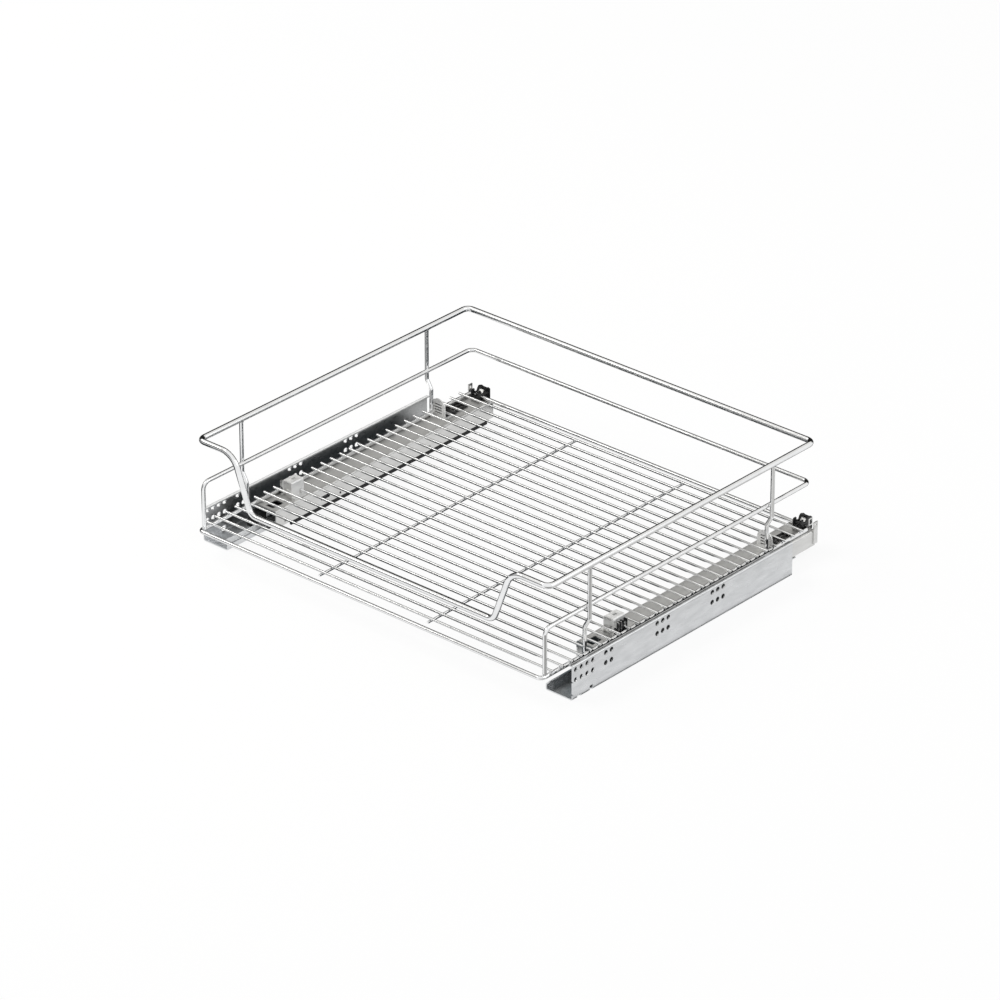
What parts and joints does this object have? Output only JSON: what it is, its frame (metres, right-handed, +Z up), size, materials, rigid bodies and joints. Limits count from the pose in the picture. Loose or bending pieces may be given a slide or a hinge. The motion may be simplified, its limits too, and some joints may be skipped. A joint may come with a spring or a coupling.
{
  "type": "pull-out basket drawer",
  "caption": "Wire basket on undermount full-extension soft-close slides that bolt to a cabinet's sides.",
  "frame": {"origin": "middle of the underside: midway between the two slides' outer faces and between the front wire and the rear hooks, at the level of the slides' floors", "axes": "+X to the right seen from the front, -Y towards the user (the basket slides out along -Y), +Z up"},
  "size_m": [0.564, 0.4855, 0.1485],
  "materials": {
    "chrome_wire": "polished",
    "zinc_sheet": "zinc plated",
    "steel_pin": "satin",
    "spring_steel": "bright",
    "black_plastic": "moulded",
    "grey_plastic": "moulded",
    "white_plastic": "moulded"
  },
  "bodies": {
    "cabinet_side": {"left_cabinet_member": "zinc_sheet", "left_guide_rail": "zinc_sheet", "left_guide_rivets": "steel_pin", "left_damper_housing": "grey_plastic", "left_damper_cover": "grey_plastic", "left_damper_cylinder": "steel_pin", "left_housing_rivets": "steel_pin", "left_return_spring": "spring_steel", "right_cabinet_member": "zinc_sheet", "right_guide_rail": "zinc_sheet", "right_guide_rivets": "steel_pin", "right_damper_housing": "grey_plastic", "right_damper_cover": "grey_plastic", "right_damper_cylinder": "steel_pin", "right_housing_rivets": "steel_pin", "right_return_spring": "spring_steel"},
    "basket": {"base_frame": "chrome_wire", "floor_wires": "chrome_wire", "support_wires": "chrome_wire", "top_rail": "chrome_wire", "middle_rail": "chrome_wire", "uprights": "chrome_wire", "left_drawer_member": "zinc_sheet", "left_carrier_rail": "zinc_sheet", "left_edge_strip": "black_plastic", "left_actuator_pin": "steel_pin", "left_front_clip": "zinc_sheet", "left_rear_bracket": "zinc_sheet", "left_rear_hook": "black_plastic", "left_rear_tab": "zinc_sheet", "right_drawer_member": "zinc_sheet", "right_carrier_rail": "zinc_sheet", "right_edge_strip": "black_plastic", "right_actuator_pin": "steel_pin", "right_front_clip": "zinc_sheet", "right_rear_bracket": "zinc_sheet", "right_rear_hook": "black_plastic", "right_rear_tab": "zinc_sheet"},
    "left_intermediate": {"left_intermediate_member": "zinc_sheet", "left_front_cap": "black_plastic"},
    "left_lower_cage_body": {"left_lower_cage": "black_plastic", "left_lower_rollers": "white_plastic"},
    "left_upper_cage_body": {"left_upper_cage": "black_plastic", "left_upper_rollers": "white_plastic"},
    "left_catch": {"left_catch_carriage": "white_plastic", "left_damper_rod": "steel_pin"},
    "right_intermediate": {"right_intermediate_member": "zinc_sheet", "right_front_cap": "black_plastic"},
    "right_lower_cage_body": {"right_lower_cage": "black_plastic", "right_lower_rollers": "white_plastic"},
    "right_upper_cage_body": {"right_upper_cage": "black_plastic", "right_upper_rollers": "white_plastic"},
    "right_catch": {"right_catch_carriage": "white_plastic", "right_damper_rod": "steel_pin"}
  },
  "joints": [
    {"name": "basket_slide", "type": "slide", "parent": "cabinet_side", "child": "basket", "axis": [0, -1, 0], "range_m": [0, 0.4]},
    {"name": "left_intermediate_slide", "type": "slide", "parent": "cabinet_side", "child": "left_intermediate", "axis": [0, -1, 0], "range_m": [0, 0.2]},
    {"name": "left_lower_cage_body_slide", "type": "slide", "parent": "cabinet_side", "child": "left_lower_cage_body", "axis": [0, -1, 0], "range_m": [0, 0.1]},
    {"name": "left_upper_cage_body_slide", "type": "slide", "parent": "cabinet_side", "child": "left_upper_cage_body", "axis": [0, -1, 0], "range_m": [0, 0.3]},
    {"name": "left_catch_slide", "type": "slide", "parent": "cabinet_side", "child": "left_catch", "axis": [0, -1, 0], "range_m": [0, 0.048], "deforming": ["left_return_spring"]},
    {"name": "right_intermediate_slide", "type": "slide", "parent": "cabinet_side", "child": "right_intermediate", "axis": [0, -1, 0], "range_m": [0, 0.2]},
    {"name": "right_lower_cage_body_slide", "type": "slide", "parent": "cabinet_side", "child": "right_lower_cage_body", "axis": [0, -1, 0], "range_m": [0, 0.1]},
    {"name": "right_upper_cage_body_slide", "type": "slide", "parent": "cabinet_side", "child": "right_upper_cage_body", "axis": [0, -1, 0], "range_m": [0, 0.3]},
    {"name": "right_catch_slide", "type": "slide", "parent": "cabinet_side", "child": "right_catch", "axis": [0, -1, 0], "range_m": [0, 0.048], "deforming": ["right_return_spring"]}
  ],
  "couplings": [
    {"joint": "left_intermediate_slide", "follows": "basket_slide", "ratio": 0.5},
    {"joint": "left_lower_cage_body_slide", "follows": "basket_slide", "ratio": 0.25},
    {"joint": "left_upper_cage_body_slide", "follows": "basket_slide", "ratio": 0.75},
    {"joint": "left_catch_slide", "follows": "basket_slide", "ratio": 0.12},
    {"joint": "right_intermediate_slide", "follows": "basket_slide", "ratio": 0.5},
    {"joint": "right_lower_cage_body_slide", "follows": "basket_slide", "ratio": 0.25},
    {"joint": "right_upper_cage_body_slide", "follows": "basket_slide", "ratio": 0.75},
    {"joint": "right_catch_slide", "follows": "basket_slide", "ratio": 0.12}
  ]
}
